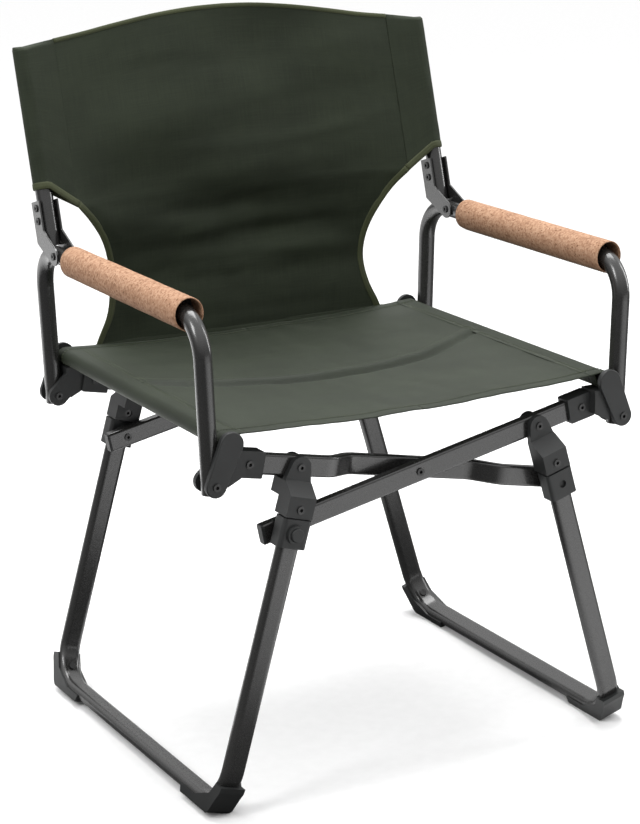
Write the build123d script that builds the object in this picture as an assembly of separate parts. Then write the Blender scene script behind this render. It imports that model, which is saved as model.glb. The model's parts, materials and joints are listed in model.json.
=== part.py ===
"""Folding camp chair: two U-shaped leg frames and two armrest frames on a front and a rear scissor.

Millimetres, +Z up, +X to the sitter's left, and the front of the chair at -Y.
The origin is on the floor, under the middle of the chair's bounding box.
Most pieces are drawn once, for the front right-hand (+X) corner, and mirrored to the others.
"""
from build123d import *
from math import atan, cos, degrees, hypot, radians, sin, tan
import os

# ---------------------------------------------------------------- driving dimensions
DEPTH_CENTRE = 9.6          # the bounding box's middle, behind the middle between the front and rear legs

# scissor, seen from the front
CENTRE_Z = 350.0            # height of the centre pivots
BAR_ANGLE = 11.5            # slope of the open crossbars
FOLDED_BAR_ANGLE = 78.0     # slope of the folded crossbars
LEG_PIVOT_REACH = 156.0     # centre pivot to leg pivot, along a bar
COLLAR_REACH = 175.5        # centre pivot to collar rivet, along a bar
BAR_HUB_END = 231.0         # centre pivot to the bar's end inside its hub
BAR_FREE_END = 198.0        # centre pivot to the bar's capped end
BAR_PLANE_Y = 200.75        # middle of the bars, in front of the legs' middle
BAR_HEIGHT = 23.5
BAR_THICKNESS = 12.0
BAR_CORNER = 3.0
BAR_WALL = 1.5
JOGGLE_DEPTH = 20.0         # how far the left bar steps back behind the right one
JOGGLE_START = 80.0         # the step back is complete inside this reach
JOGGLE_END = 112.0          # and starts at this one
JOGGLE_RADIUS = 30.0

# legs
LEG_PLANE_Y = 222.25
LEG_WIDTH = 26.5
LEG_THICKNESS = 13.5
LEG_WALL = 1.5
LEG_BEND_RADIUS = 46.0
LEG_TOP = 26.0              # leg pivot down to the tube's end in its bracket
SOLE = 393.2                # leg pivot down to the foot's underside, along the leg
SOLE_THICKNESS = 2.3
FOOT_CHEEK = 2.0
FOOT_REAR_REACH = 75.0      # foot's length along the ground bar, from the leg's middle
FOOT_LIP = 36.0             # height of the foot's front lip

# brackets and collars
BRACKET_WIDTH = 32.5
BRACKET_WALL = 4.0
BRACKET_BOTTOM = 51.5       # leg pivot down to the bracket's lower edge
BRACKET_SHOULDER = 28.0
BRACKET_RIVET = 42.0
EAR_RADIUS = 12.0
EAR_THICKNESS = 5.0
EAR_GAP = 0.5               # bar face to ear face
RIVET_RECESS = 3.0          # sinks the bracket rivet's rear head clear of the crossbar
WEB_TOP = 16.0
WEB_BOTTOM = 33.0
COLLAR_WIDTH = 34.5
COLLAR_HEIGHT = 32.0
COLLAR_WALL = 5.0
COLLAR_CLEARANCE = 0.3
COLLAR_BOSS_RADIUS = 11.0
COLLAR_RECESS_RADIUS = 4.5
BUTTON_RADIUS = 7.5
BUTTON_GUIDE_RADIUS = 10.5
BUTTON_GUIDE_HEIGHT = 3.5
BUTTON_PROUD = 2.5
BUTTON_LENGTH = 7.0
BUTTON_TRAVEL = 2.0
SPRING_THICKNESS = 0.8

# hubs, seat rails and arm pivots
RAIL_X, RAIL_Z = 241.0, 423.0
ARM_PIVOT_X, ARM_PIVOT_Z = 260.0, 380.0
HUB_FACE_Y = 226.75
HUB_PLATE = 6.0
HUB_NOSE_RADIUS = 14.0
HUB_EAR_RADIUS = 12.0
HUB_REAR_EAR = 6.0
SOCKET_WALL = 4.0
SOCKET_LENGTH = 31.0
SOCKET_RIVET = 217.3        # centre pivot to the socket rivet
RAIL_RADIUS = 8.0
RAIL_WALL = 1.2

# armrest frames
ARM_POST_Y = 210.25
ARM_RADIUS = 10.0
ARM_WALL = 1.5
ARM_TOP_X, ARM_TOP_Z = 266.0, 558.0
ARM_BEND_RADIUS = 45.0
ARM_FOOT = 11.0             # the tube runs this far below its pivot
CORK_FRONT, CORK_REAR = -184.0, 118.0
CORK_WIDTH, CORK_HEIGHT = 34.0, 36.5
CORK_WALL = 1.5
FOAM_SETBACK = 24.0

# backrest
BACK_PIVOT_Y, BACK_PIVOT_Z = 148.0, 560.0
BACK_TILT = 16.4
POST_OFFSET = 29.5          # back pivot to the post's axis
POST_RADIUS = 10.0
POST_WALL = 1.2
POST_BOTTOM = 15.0          # along the post, from the point nearest its pivot
POST_TOP = 241.0
BRACKET_PLATE = 2.0
BRACKET_PLATE_GAP = 0.35
BRACKET_TOP = 68.0
BACK_RIVETS = (44.6, 59.7)
BACK_PIVOT_BOSS = 11.0

# fabric
FABRIC = 2.4                # thickness of a doubled, hemmed panel
FABRIC_CLEARANCE = 0.4
SEAT_FRONT, SEAT_REAR = -218.0, 218.0
SEAT_SAG = 6.0
POCKET_SEAM_X = 226.0       # seam that closes each back pocket
BACK_CORNER_Z = 790.0
BACK_APEX_Z = 824.0
POCKET_BOTTOM_Z = 630.0
WAIST_SPLIT_Z = 606.0
WAIST_SPLIT_X = 222.0
WAIST_X = 177.0
WAIST_Z = 505.0
WAIST_Y = 222.0
BACK_HEM_X = 196.0
BACK_HEM_Y = 214.0
BACK_HEM_Z = 438.0

# fasteners
RIVET_RADIUS = 3.0
HEAD_RADIUS = 4.4
HEAD_HEIGHT = 1.5
DIMPLE_RADIUS = 1.9
RUNNING_CLEARANCE = 0.05

# ---------------------------------------------------------------- worked-out sizes
LEG_PIVOT_X = LEG_PIVOT_REACH * cos(radians(BAR_ANGLE))
LEG_PIVOT_Z = CENTRE_Z + LEG_PIVOT_REACH * sin(radians(BAR_ANGLE))
REACH_RATIO = (COLLAR_REACH - LEG_PIVOT_REACH) / (COLLAR_REACH + LEG_PIVOT_REACH)
LEG_TILT = degrees(atan(REACH_RATIO / tan(radians(BAR_ANGLE))))
FOLDED_LEG_TILT = degrees(atan(REACH_RATIO / tan(radians(FOLDED_BAR_ANGLE))))


def collar_drop(bar_angle):
    """Leg pivot down to the collar rivet, along the leg, for a slope of the crossbars."""
    across = (COLLAR_REACH - LEG_PIVOT_REACH) * cos(radians(bar_angle))
    down = (COLLAR_REACH + LEG_PIVOT_REACH) * sin(radians(bar_angle))
    return hypot(across, down)


COLLAR_DROP = collar_drop(BAR_ANGLE)
COLLAR_TRAVEL = collar_drop(FOLDED_BAR_ANGLE) - COLLAR_DROP
GROUND_BAR = SOLE - SOLE_THICKNESS - LEG_THICKNESS / 2
BAR_FRONT = BAR_PLANE_Y + BAR_THICKNESS / 2
BAR_BACK = BAR_PLANE_Y - BAR_THICKNESS / 2
LEG_FRONT = LEG_PLANE_Y + LEG_THICKNESS / 2
LEG_BACK = LEG_PLANE_Y - LEG_THICKNESS / 2
ARM_LEAN = degrees(atan((ARM_TOP_X - ARM_PIVOT_X) / (ARM_TOP_Z - ARM_PIVOT_Z)))
ARM_SWEEP = hypot(ARM_FOOT, ARM_RADIUS) + 0.6
ARM_RISE = hypot(ARM_TOP_X - ARM_PIVOT_X, ARM_TOP_Z - ARM_PIVOT_Z)
POST_FOOT_Y = BACK_PIVOT_Y + POST_OFFSET * cos(radians(BACK_TILT))
POST_FOOT_Z = BACK_PIVOT_Z - POST_OFFSET * sin(radians(BACK_TILT))

LEG_FRAME = Pos(LEG_PIVOT_X, 0, LEG_PIVOT_Z) * Rot(0, -LEG_TILT, 0)
BAR_FRAME = Pos(0, 0, CENTRE_Z) * Rot(0, -BAR_ANGLE, 0)
ARM_FRAME = Pos(ARM_PIVOT_X, 0, ARM_PIVOT_Z) * Rot(0, ARM_LEAN, 0)
POST_FRAME = Pos(ARM_TOP_X, POST_FOOT_Y, POST_FOOT_Z) * Rot(-BACK_TILT, 0, 0)

FRONT_TO_REAR = Plane.XZ
RIGHT_TO_LEFT = Plane.YZ


# ---------------------------------------------------------------- shapes used more than once
def rod_y(x, z, y_from, y_to, radius):
    """A round bar along Y."""
    return Pos(x, (y_from + y_to) / 2, z) * Rot(90, 0, 0) * Cylinder(radius, abs(y_to - y_from))


def rod_x(y, z, x_from, x_to, radius):
    """A round bar along X."""
    return Pos((x_from + x_to) / 2, y, z) * Rot(0, 90, 0) * Cylinder(radius, abs(x_to - x_from))


def block(x_from, x_to, y_from, y_to, z_from, z_to):
    """A box between two corners."""
    size = (x_to - x_from, y_to - y_from, z_to - z_from)
    return Pos((x_from + x_to) / 2, (y_from + y_to) / 2, (z_from + z_to) / 2) * Box(*size)


def plate_xz(outline, y_from, y_to):
    """A flat plate: an outline in X and Z, extruded from y_from towards y_to."""
    return extrude(Plane((0, y_from, 0), x_dir=(1, 0, 0), z_dir=(0, -1, 0)) * outline, y_from - y_to)


def plate_yz(outline, x_from, x_to):
    """A flat plate: an outline in Y and Z, extruded from x_from towards x_to."""
    return extrude(Plane((x_from, 0, 0), x_dir=(0, 1, 0), z_dir=(1, 0, 0)) * outline, x_to - x_from)


def two_ended(centre_a, radius_a, centre_b, radius_b):
    """An outline around two circles, like a link plate."""
    discs = Pos(*centre_a) * Circle(radius_a) + Pos(*centre_b) * Circle(radius_b)
    return make_hull(discs.edges())


def rivet_y(x, z, y_front, y_back):
    """A tubular rivet along Y with a dimpled head outside each of two faces, y_front < y_back."""
    shank = rod_y(x, z, y_front - HEAD_HEIGHT, y_back + HEAD_HEIGHT, RIVET_RADIUS)
    heads = rod_y(x, z, y_front - HEAD_HEIGHT, y_front, HEAD_RADIUS)
    heads += rod_y(x, z, y_back, y_back + HEAD_HEIGHT, HEAD_RADIUS)
    dimple_depth = 2 * HEAD_HEIGHT
    dimples = rod_y(x, z, y_front - HEAD_HEIGHT, y_front - HEAD_HEIGHT + dimple_depth, DIMPLE_RADIUS)
    dimples += rod_y(x, z, y_back + HEAD_HEIGHT - dimple_depth, y_back + HEAD_HEIGHT, DIMPLE_RADIUS)
    return shank + heads - dimples


def rivet_x(y, z, x_inner, x_outer):
    """The same rivet along X."""
    shank = rod_x(y, z, x_inner - HEAD_HEIGHT, x_outer + HEAD_HEIGHT, RIVET_RADIUS)
    heads = rod_x(y, z, x_inner - HEAD_HEIGHT, x_inner, HEAD_RADIUS)
    heads += rod_x(y, z, x_outer, x_outer + HEAD_HEIGHT, HEAD_RADIUS)
    dimple_depth = 2 * HEAD_HEIGHT
    dimples = rod_x(y, z, x_inner - HEAD_HEIGHT, x_inner - HEAD_HEIGHT + dimple_depth, DIMPLE_RADIUS)
    dimples += rod_x(y, z, x_outer + HEAD_HEIGHT - dimple_depth, x_outer + HEAD_HEIGHT, DIMPLE_RADIUS)
    return shank + heads - dimples


def swept(section, path):
    """A tube: the section, whose first axis stays along X, carried along a path."""
    return sweep(Plane(path @ 0, x_dir=(1, 0, 0), z_dir=path % 0) * section, path)


def both_ends(piece):
    """A front piece and its mirror image at the rear, as separate solids of one group."""
    return piece + mirror(piece, about=FRONT_TO_REAR)


# ---------------------------------------------------------------- legs
def leg_path():
    """The U of a leg frame in the leg's own plane, with the leg pivots at z = 0."""
    return FilletPolyline(
        (0, -LEG_PLANE_Y, -LEG_TOP),
        (0, -LEG_PLANE_Y, -GROUND_BAR),
        (0, LEG_PLANE_Y, -GROUND_BAR),
        (0, LEG_PLANE_Y, -LEG_TOP),
        radius=LEG_BEND_RADIUS,
    )


def leg_solid():
    """The leg frame without its bore, for cutting the pieces that wrap it."""
    return swept(SlotOverall(LEG_WIDTH, LEG_THICKNESS), leg_path())


def leg_tube():
    """A bent flat-oval tube with rivet holes for its brackets."""
    bore = SlotOverall(LEG_WIDTH - 2 * LEG_WALL, LEG_THICKNESS - 2 * LEG_WALL)
    tube = swept(SlotOverall(LEG_WIDTH, LEG_THICKNESS) - bore, leg_path())
    tube -= rod_y(0, -BRACKET_RIVET, -LEG_PLANE_Y - 20, LEG_PLANE_Y + 20, RIVET_RADIUS)
    return LEG_FRAME * tube


def foot():
    """A moulded corner shoe: cheeks up to the tube's middle, and a pointed toe below the bend."""
    bend_y = -LEG_PLANE_Y + LEG_BEND_RADIUS
    bend_z = -GROUND_BAR + LEG_BEND_RADIUS
    half_way = LEG_BEND_RADIUS * sin(radians(45))
    rear_y = -LEG_PLANE_Y + FOOT_REAR_REACH
    outline = Polyline(
        (rear_y, -SOLE),
        (rear_y + 3, -GROUND_BAR),
        (bend_y, -GROUND_BAR),
        (bend_y - half_way, bend_z - half_way),
        (bend_y - LEG_BEND_RADIUS * cos(radians(20)), bend_z - LEG_BEND_RADIUS * sin(radians(20))),
        (-LEG_PLANE_Y, -SOLE + FOOT_LIP),
        (-LEG_FRONT - 2.5, -SOLE + FOOT_LIP),
        (-LEG_FRONT - 1.5, -SOLE + FOOT_LIP - 6),
        (-LEG_FRONT + 2.5, -SOLE + FOOT_LIP - 12),
        (-LEG_FRONT + 14.0, -SOLE + 4),
        (-LEG_FRONT + 19.0, -SOLE),
        close=True,
    )
    half_width = LEG_WIDTH / 2 + FOOT_CHEEK
    shoe = plate_yz(make_face(outline), -half_width, half_width)
    shoe = LEG_FRAME * (shoe - leg_solid())
    floor_cut = block(0, 400, -400, 400, -60, 0)
    return shoe - floor_cut


def foot_rivet():
    """The rivet head in the pressed groove on the inside of the corner bend."""
    bend_y = -LEG_PLANE_Y + LEG_BEND_RADIUS
    bend_z = -GROUND_BAR + LEG_BEND_RADIUS
    inner_radius = LEG_BEND_RADIUS - LEG_THICKNESS / 2
    lift = HEAD_HEIGHT / 2 + HEAD_RADIUS**2 / inner_radius
    head = Pos(0, bend_y, bend_z) * Rot(-45, 0, 0) * Pos(0, 0, -inner_radius + lift)
    return LEG_FRAME * (head * Cylinder(HEAD_RADIUS, HEAD_HEIGHT))


def bracket():
    """A leg-top bracket: a socket on the tube, and two ears around the crossbar."""
    ear_face = BAR_FRONT + EAR_GAP
    ear_front = ear_face + EAR_THICKNESS + 1.75
    socket_front = LEG_FRONT + BRACKET_WALL
    side = Polyline(
        (-ear_face, EAR_RADIUS),
        (-ear_front, EAR_RADIUS),
        (-ear_front, -BRACKET_SHOULDER / 2),
        (-socket_front, -BRACKET_SHOULDER),
        (-socket_front, -BRACKET_BOTTOM),
        (-ear_face, -BRACKET_BOTTOM),
        close=True,
    )
    half = BRACKET_WIDTH / 2
    shoulder = Polyline(
        (-half, -WEB_TOP),
        (-half, -BRACKET_BOTTOM),
        (half, -BRACKET_BOTTOM),
        (half, -WEB_TOP),
        close=True,
    )
    front = make_hull((Circle(EAR_RADIUS) + make_face(shoulder)).edges())
    body = plate_yz(make_face(side), -half, half) & plate_xz(front, -LEG_PLANE_Y - 20, -BAR_BACK)
    rear_face = BAR_BACK - EAR_GAP
    rear_back = rear_face - EAR_THICKNESS
    rear_foot = make_face(Polyline(
        (0, -WEB_TOP),
        (0, -WEB_BOTTOM),
        (half, -WEB_BOTTOM),
        (half, -WEB_TOP),
        close=True,
    ))
    rear_ear = make_hull((Circle(EAR_RADIUS) + rear_foot).edges())
    body += plate_xz(rear_ear, -rear_face, -rear_back)
    body += block(half - 3.6, half, -ear_front, -rear_back, -WEB_BOTTOM, -WEB_TOP)
    body -= leg_solid()
    body -= rod_y(0, 0, -LEG_PLANE_Y - 20, -rear_back + 1, RIVET_RADIUS)
    body -= rod_y(0, -BRACKET_RIVET, -LEG_PLANE_Y - 20, -BAR_FRONT + 1, RIVET_RADIUS)
    body -= rod_y(0, -BRACKET_RIVET, -ear_face - RIVET_RECESS, -BAR_FRONT + 1, HEAD_RADIUS + 0.3)
    return LEG_FRAME * body


def bracket_rivet():
    """The rivet that holds a bracket on its leg tube."""
    recess_floor = BAR_FRONT + EAR_GAP + RIVET_RECESS
    return LEG_FRAME * rivet_y(0, -BRACKET_RIVET, -LEG_FRONT - BRACKET_WALL, -recess_floor)


def leg_pivot():
    """The rivet through both ears and the crossbar."""
    front = BAR_FRONT + EAR_GAP + EAR_THICKNESS + 1.75
    back = BAR_BACK - EAR_GAP - EAR_THICKNESS
    return LEG_FRAME * rivet_y(0, 0, -front, -back)


# ---------------------------------------------------------------- collars
def collar():
    """A sliding collar with the boss that its crossbar's end bears on."""
    half = COLLAR_WIDTH / 2
    top = -COLLAR_DROP + COLLAR_HEIGHT / 2
    bottom = -COLLAR_DROP - COLLAR_HEIGHT / 2
    front = LEG_FRONT + COLLAR_CLEARANCE + COLLAR_WALL
    back = LEG_BACK - COLLAR_CLEARANCE - COLLAR_WALL + 1
    shell = block(-half, half, -front, -back, bottom, top)
    shell = fillet(shell.edges().filter_by(Axis.Z), COLLAR_WALL)
    shell += rod_y(0, -COLLAR_DROP, -back - 1, -BAR_FRONT - EAR_GAP, COLLAR_BOSS_RADIUS)
    slot = SlotOverall(LEG_WIDTH + 2 * COLLAR_CLEARANCE, LEG_THICKNESS + 2 * COLLAR_CLEARANCE)
    shell -= extrude(Pos(0, -LEG_PLANE_Y, bottom - 1) * slot, COLLAR_HEIGHT + 2)
    return shell


def plain_collar():
    """A collar with a shallow round recess in its front face."""
    front = LEG_FRONT + COLLAR_CLEARANCE + COLLAR_WALL
    recess = rod_y(0, -COLLAR_DROP, -front, -front + 3, COLLAR_RECESS_RADIUS)
    return LEG_FRAME * (collar() - recess)


def button_places():
    """Front faces of the guide and the button, and the pocket's floor."""
    face = LEG_FRONT + COLLAR_CLEARANCE + COLLAR_WALL
    guide = face + BUTTON_GUIDE_HEIGHT
    button = guide + BUTTON_PROUD
    floor = button - BUTTON_LENGTH - BUTTON_TRAVEL - 2 * RUNNING_CLEARANCE - SPRING_THICKNESS
    return face, guide, button, floor


def locking_collar():
    """The collar that carries the push button in a round guide."""
    face, guide, _, floor = button_places()
    shell = collar() + rod_y(0, -COLLAR_DROP, -guide, -face, BUTTON_GUIDE_RADIUS)
    pocket_radius = BUTTON_RADIUS + RUNNING_CLEARANCE
    shell -= rod_y(0, -COLLAR_DROP, -guide, -floor, pocket_radius)
    return LEG_FRAME * shell


def lock_button():
    """A push button with a slightly domed front edge."""
    _, _, front, _ = button_places()
    button = rod_y(0, -COLLAR_DROP, -front, -front + BUTTON_LENGTH, BUTTON_RADIUS)
    edge = button.edges().filter_by(GeomType.CIRCLE).sort_by(Axis.Y)[0]
    return LEG_FRAME * fillet(edge, 1.2)


def lock_spring():
    """A flat ring spring on the floor of the button's pocket."""
    _, _, _, floor = button_places()
    ring = rod_y(0, -COLLAR_DROP, -floor - SPRING_THICKNESS, -floor, BUTTON_RADIUS - 1)
    ring -= rod_y(0, -COLLAR_DROP, -floor - SPRING_THICKNESS, -floor, BUTTON_RADIUS - 3)
    return LEG_FRAME * ring


# ---------------------------------------------------------------- crossbars
def bar_section():
    """A rounded rectangular tube, its height along the second axis."""
    outer = RectangleRounded(BAR_THICKNESS, BAR_HEIGHT, BAR_CORNER)
    inner = RectangleRounded(
        BAR_THICKNESS - 2 * BAR_WALL,
        BAR_HEIGHT - 2 * BAR_WALL,
        BAR_CORNER - BAR_WALL,
    )
    return outer - inner


def pivot_holes(centre_y):
    """Holes through a bar for the centre pivot, its leg pivot and its two fixed rivets."""
    running = RIVET_RADIUS + RUNNING_CLEARANCE
    reach = BAR_THICKNESS
    holes = rod_y(0, 0, centre_y - reach, centre_y + reach, running)
    holes += rod_y(LEG_PIVOT_REACH, 0, -BAR_PLANE_Y - reach, -BAR_PLANE_Y + reach, running)
    for x in (-COLLAR_REACH, SOCKET_RIVET):
        holes += rod_y(x, 0, -BAR_PLANE_Y - reach, -BAR_PLANE_Y + reach, RIVET_RADIUS)
    return holes


def straight_bar():
    """The right-hand bar, which passes in front at the centre."""
    start = Plane((-BAR_FREE_END, -BAR_PLANE_Y, 0), x_dir=(0, 1, 0), z_dir=(1, 0, 0))
    bar = extrude(start * bar_section(), BAR_FREE_END + BAR_HUB_END)
    return BAR_FRAME * (bar - pivot_holes(-BAR_PLANE_Y))


def joggled_bar():
    """The left-hand bar, drawn as a right-hand one, stepped inwards past the straight bar."""
    path = FilletPolyline(
        (-BAR_FREE_END, -BAR_PLANE_Y, 0),
        (-JOGGLE_END, -BAR_PLANE_Y, 0),
        (-JOGGLE_START, -BAR_PLANE_Y + JOGGLE_DEPTH, 0),
        (JOGGLE_START, -BAR_PLANE_Y + JOGGLE_DEPTH, 0),
        (JOGGLE_END, -BAR_PLANE_Y, 0),
        (BAR_HUB_END, -BAR_PLANE_Y, 0),
        radius=JOGGLE_RADIUS,
    )
    bar = sweep(Plane(path @ 0, x_dir=(0, 1, 0), z_dir=path % 0) * bar_section(), path)
    return BAR_FRAME * (bar - pivot_holes(-BAR_PLANE_Y + JOGGLE_DEPTH))


def bar_cap():
    """The moulded plug that closes a crossbar's free end."""
    plane = Plane((-BAR_FREE_END, -BAR_PLANE_Y, 0), x_dir=(0, 1, 0), z_dir=(1, 0, 0))
    head = extrude(plane * RectangleRounded(BAR_THICKNESS, BAR_HEIGHT, BAR_CORNER), -3)
    head = chamfer(head.faces().sort_by(Axis.X)[0].edges(), 0.8)
    plug_size = (BAR_THICKNESS - 2 * BAR_WALL, BAR_HEIGHT - 2 * BAR_WALL)
    plug = extrude(plane * RectangleRounded(*plug_size, BAR_CORNER - BAR_WALL), 10)
    return BAR_FRAME * (head + plug)


def collar_rivet():
    """The rivet in a crossbar's free end: flush towards the collar's boss, with a head behind."""
    rivet = rivet_y(-COLLAR_REACH, 0, -BAR_FRONT, -BAR_BACK)
    front_head = rod_y(-COLLAR_REACH, 0, -BAR_FRONT - HEAD_HEIGHT, -BAR_FRONT, HEAD_RADIUS)
    return BAR_FRAME * (rivet - front_head)


def centre_rivet():
    """The rivet through both crossbars at the centre."""
    back = BAR_PLANE_Y - JOGGLE_DEPTH - BAR_THICKNESS / 2
    return rivet_y(0, CENTRE_Z, -BAR_FRONT - 0.3, -back + 0.3)


def centre_spacer():
    """The washer between the two crossbars at the centre."""
    front = BAR_BACK - 0.3
    back = BAR_PLANE_Y - JOGGLE_DEPTH + BAR_THICKNESS / 2 + 0.3
    washer = rod_y(0, CENTRE_Z, -front, -back, 9.0)
    return washer - rod_y(0, CENTRE_Z, -front, -back, RIVET_RADIUS)


# ---------------------------------------------------------------- hubs and rails
def hub():
    """A corner hub: an outer link plate, a crossbar socket, and a rear ear behind the arm post."""
    nose = (RAIL_X, RAIL_Z)
    ear = (ARM_PIVOT_X, ARM_PIVOT_Z)
    plate_back = HUB_FACE_Y - HUB_PLATE
    outline = two_ended(nose, HUB_NOSE_RADIUS, ear, HUB_EAR_RADIUS)
    plate = plate_xz(outline, -HUB_FACE_Y, -plate_back)
    plate = fillet(plate.faces().sort_by(Axis.Y)[0].edges(), 1.5)
    socket_height = BAR_HEIGHT / 2 + SOCKET_WALL - 1
    socket = BAR_FRAME * block(
        BAR_HUB_END - SOCKET_LENGTH,
        BAR_HUB_END + 2,
        -BAR_FRONT - SOCKET_WALL,
        -BAR_BACK + SOCKET_WALL,
        -socket_height,
        socket_height,
    )
    socket = fillet(socket.edges().filter_by(Axis.Y), 2.0)
    core_outline = make_face(Polyline(
        (RAIL_X - 17, RAIL_Z - 10),
        (RAIL_X - 17, ARM_PIVOT_Z + 6),
        (ARM_PIVOT_X - ARM_SWEEP, ARM_PIVOT_Z - 4),
        (ARM_PIVOT_X - ARM_SWEEP, ARM_PIVOT_Z + 6),
        (ARM_PIVOT_X - 11, ARM_PIVOT_Z + 11),
        (ARM_PIVOT_X - 10.6, RAIL_Z - 10),
        close=True,
    ))
    ear_back = ARM_POST_Y - ARM_RADIUS - 0.5 - HUB_REAR_EAR
    core = plate_xz(core_outline, -plate_back - 0.5, -ear_back)
    rear_outline = two_ended((RAIL_X - 4, RAIL_Z - 22), 12.0, ear, HUB_EAR_RADIUS)
    rear_ear = plate_xz(rear_outline, -ear_back - HUB_REAR_EAR, -ear_back)
    body = plate + socket + core + rear_ear
    body -= BAR_FRAME * block(
        0,
        BAR_HUB_END,
        -BAR_FRONT,
        -BAR_BACK,
        -BAR_HEIGHT / 2,
        BAR_HEIGHT / 2,
    )
    body -= rod_y(*nose, -HUB_FACE_Y + 2, -plate_back + 1, RAIL_RADIUS)
    body -= rod_y(*ear, -HUB_FACE_Y - 1, -ear_back + 1, RIVET_RADIUS)
    body -= BAR_FRAME * rod_y(SOCKET_RIVET, 0, -HUB_FACE_Y - 1, -BAR_BACK + 20, RIVET_RADIUS)
    return body


def hub_rivet():
    """The rivet that holds a crossbar in its socket."""
    return BAR_FRAME * rivet_y(SOCKET_RIVET, 0, -BAR_FRONT - SOCKET_WALL, -BAR_BACK + SOCKET_WALL)


def arm_pivot():
    """The rivet through a hub's two ears and the arm post."""
    back = ARM_POST_Y - ARM_RADIUS - 0.5 - HUB_REAR_EAR
    return rivet_y(ARM_PIVOT_X, ARM_PIVOT_Z, -HUB_FACE_Y, -back)


def seat_rail():
    """The tube that runs front to rear between two hubs, inside the seat's side sleeve."""
    end = HUB_FACE_Y - 2
    rail = rod_y(RAIL_X, RAIL_Z, -end, end, RAIL_RADIUS)
    return rail - rod_y(RAIL_X, RAIL_Z, -end, end, RAIL_RADIUS - RAIL_WALL)


# ---------------------------------------------------------------- armrest frames
def arm_tube():
    """An armrest frame: one tube up from the front hub, along, and down to the rear hub."""
    path = FilletPolyline(
        (0, -ARM_POST_Y, -ARM_FOOT),
        (0, -ARM_POST_Y, ARM_RISE),
        (0, ARM_POST_Y, ARM_RISE),
        (0, ARM_POST_Y, -ARM_FOOT),
        radius=ARM_BEND_RADIUS,
    )
    tube = swept(Circle(ARM_RADIUS) - Circle(ARM_RADIUS - ARM_WALL), path)
    running = RIVET_RADIUS + RUNNING_CLEARANCE
    tube = ARM_FRAME * (tube - rod_y(0, 0, -ARM_POST_Y - 20, ARM_POST_Y + 20, running))
    pivot_reach = (ARM_TOP_X - 20, ARM_TOP_X + 20)
    return tube - rod_x(BACK_PIVOT_Y, BACK_PIVOT_Z, *pivot_reach, running)


def oval(width, height):
    """An ellipse in X and Z."""
    return Ellipse(width / 2, height / 2)


def armrest_cork():
    """A sheet of cork wrapped into an oval sleeve, open at both ends."""
    ring = oval(CORK_WIDTH, CORK_HEIGHT) - oval(CORK_WIDTH - 2 * CORK_WALL, CORK_HEIGHT - 2 * CORK_WALL)
    return plate_xz(Pos(ARM_TOP_X, ARM_TOP_Z) * ring, CORK_FRONT, CORK_REAR)


def armrest_foam():
    """The foam sleeve between the cork and the tube, set back from the cork's front mouth."""
    gap = 2 * CORK_WALL + 0.2
    ring = oval(CORK_WIDTH - gap, CORK_HEIGHT - gap) - Circle(ARM_RADIUS + 0.1)
    return plate_xz(Pos(ARM_TOP_X, ARM_TOP_Z) * ring, CORK_FRONT + FOAM_SETBACK, CORK_REAR - 4)


# ---------------------------------------------------------------- backrest
def back_post():
    """The tube that holds one side of the back fabric, with its rivet holes."""
    length = POST_TOP - POST_BOTTOM
    post = Pos(0, 0, POST_BOTTOM + length / 2) * (
        Cylinder(POST_RADIUS, length) - Cylinder(POST_RADIUS - POST_WALL, length)
    )
    for along in BACK_RIVETS:
        post -= rod_x(0, along, -20, 20, RIVET_RADIUS)
    return POST_FRAME * post


def post_plugs():
    """The moulded plugs in a back post's two ends, with a domed cap at the top."""
    top = Pos(0, 0, POST_TOP - 6) * Cylinder(POST_RADIUS - POST_WALL, 12)
    top += Pos(0, 0, POST_TOP + 1) * Cylinder(POST_RADIUS, 2)
    bottom = Pos(0, 0, POST_BOTTOM + 5) * Cylinder(POST_RADIUS - POST_WALL, 10)
    return POST_FRAME * (top + bottom)


def back_bracket():
    """A folded sheet-metal channel: two cheeks around post and armrest tube, and a web behind."""
    inner = POST_RADIUS + BRACKET_PLATE_GAP
    outer = inner + BRACKET_PLATE
    half_depth = POST_RADIUS + 2.8
    boss = Pos(-POST_OFFSET, 0) * Circle(BACK_PIVOT_BOSS)
    heel = make_face(Polyline(
        (-POST_RADIUS, POST_BOTTOM + 17),
        (-POST_RADIUS, POST_BOTTOM),
        (half_depth, POST_BOTTOM + 5),
        (half_depth, POST_BOTTOM + 17),
        close=True,
    ))
    upper = make_face(Polyline(
        (-POST_RADIUS, BRACKET_TOP),
        (-POST_RADIUS, POST_BOTTOM + 10),
        (half_depth, POST_BOTTOM + 10),
        (half_depth, BRACKET_TOP),
        close=True,
    ))
    cheek = make_hull((boss + heel).edges()) + upper
    channel = plate_yz(cheek, -outer, -inner) + plate_yz(cheek, inner, outer)
    web_front = half_depth - BRACKET_PLATE
    channel += block(-outer, outer, web_front, half_depth, POST_BOTTOM + 8, BRACKET_TOP)
    channel -= rod_x(-POST_OFFSET, 0, -20, 20, RIVET_RADIUS)
    for along in BACK_RIVETS:
        channel -= rod_x(0, along, -20, 20, RIVET_RADIUS)
    return POST_FRAME * channel


def back_bracket_rivets():
    """The two rivets that hold a bracket on its post."""
    outer = POST_RADIUS + BRACKET_PLATE_GAP + BRACKET_PLATE
    lower, upper = (rivet_x(0, along, -outer, outer) for along in BACK_RIVETS)
    return POST_FRAME * (lower + upper)


def back_pivot():
    """The rivet that a backrest bracket turns on, through the armrest tube."""
    outer = POST_RADIUS + BRACKET_PLATE_GAP + BRACKET_PLATE
    return rivet_x(BACK_PIVOT_Y, BACK_PIVOT_Z, ARM_TOP_X - outer, ARM_TOP_X + outer)


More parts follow.
